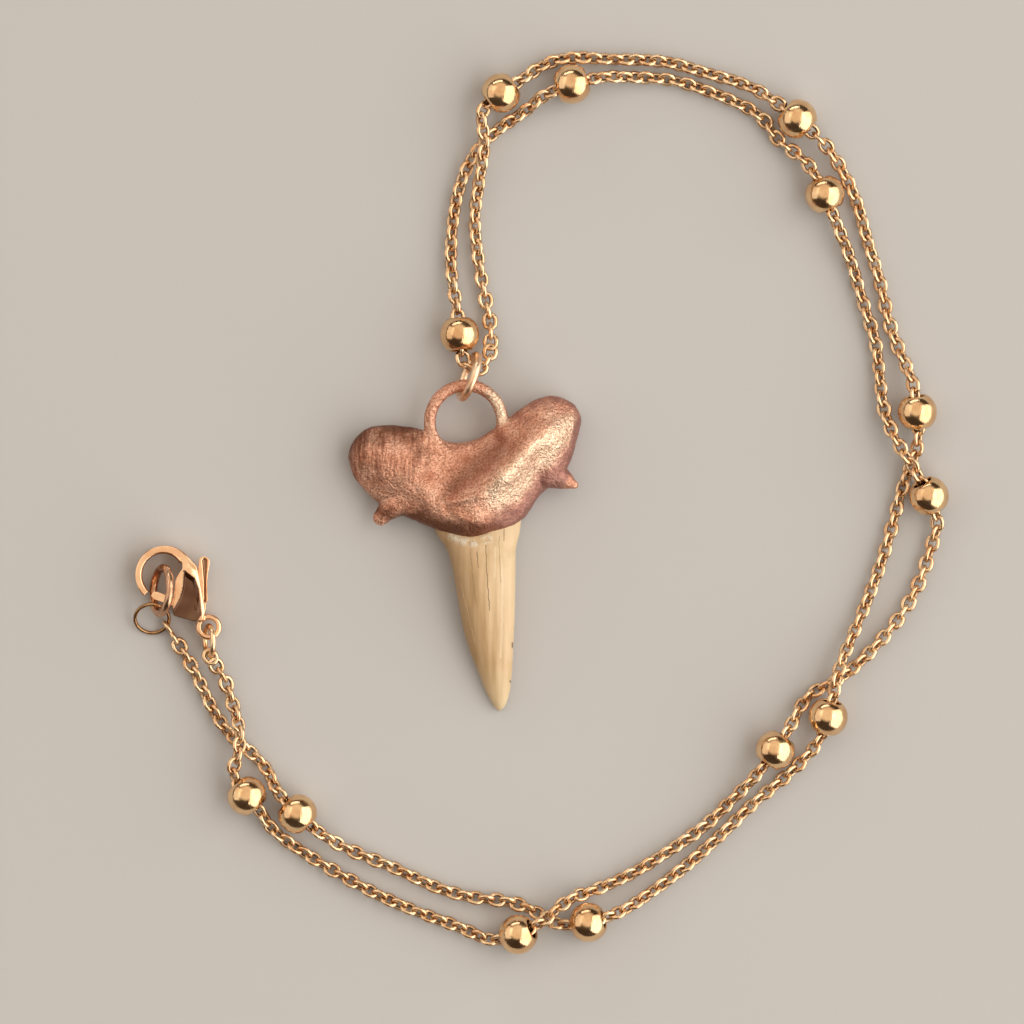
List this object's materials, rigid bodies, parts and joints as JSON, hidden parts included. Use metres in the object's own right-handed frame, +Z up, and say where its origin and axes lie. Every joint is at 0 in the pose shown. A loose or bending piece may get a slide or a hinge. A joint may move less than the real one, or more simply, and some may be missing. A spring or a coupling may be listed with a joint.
{
  "type": "shark tooth necklace",
  "caption": "Shark tooth pendant with a copper-coated root and bail on a doubled fine cable chain with round beads and a lobster clasp.",
  "frame": {"origin": "middle of the laid necklace, on the surface that it lies on", "axes": "+Z up from the surface, +Y towards the end of the loop that leads round from the pendant's bail, tooth pointing to -Y"},
  "size_m": [0.0864, 0.0958, 0.0071],
  "materials": {
    "copper": "plated copper, satin and lightly tarnished",
    "tooth": "glossy fossil enamel with fine cracks",
    "gold": "polished gold plate",
    "rose_gold": "polished rose gold plate",
    "dark_gold": "worn thin plate"
  },
  "bodies": {
    "necklace": {"copper_root": "copper", "tooth": "tooth", "pendant_ring": "gold", "chain_strand_a": "gold", "chain_strand_b": "gold", "clasp_body": "rose_gold", "clasp_pin": "rose_gold", "clasp_eye_ring": "gold", "hook_ring": "gold", "end_ring": "dark_gold", "end_link_a": "gold", "end_link_b": "gold", "bead_01": "gold", "bead_02": "gold", "bead_03": "gold", "bead_04": "gold", "bead_05": "gold", "bead_06": "gold", "bead_07": "gold", "bead_08": "gold", "bead_09": "gold", "bead_10": "gold", "bead_11": "gold", "bead_12": "gold", "bead_13": "gold"},
    "lever": {"clasp_lever": "rose_gold"}
  },
  "joints": [
    {"name": "lever_hinge", "type": "hinge", "parent": "necklace", "child": "lever", "pos_m": [-0.03651, -0.01083, 0.0016], "axis": [0, 0, -1], "range_deg": [0, 16], "stiffness_Nm_per_rad": 0.002, "springref_deg": -11.46}
  ]
}
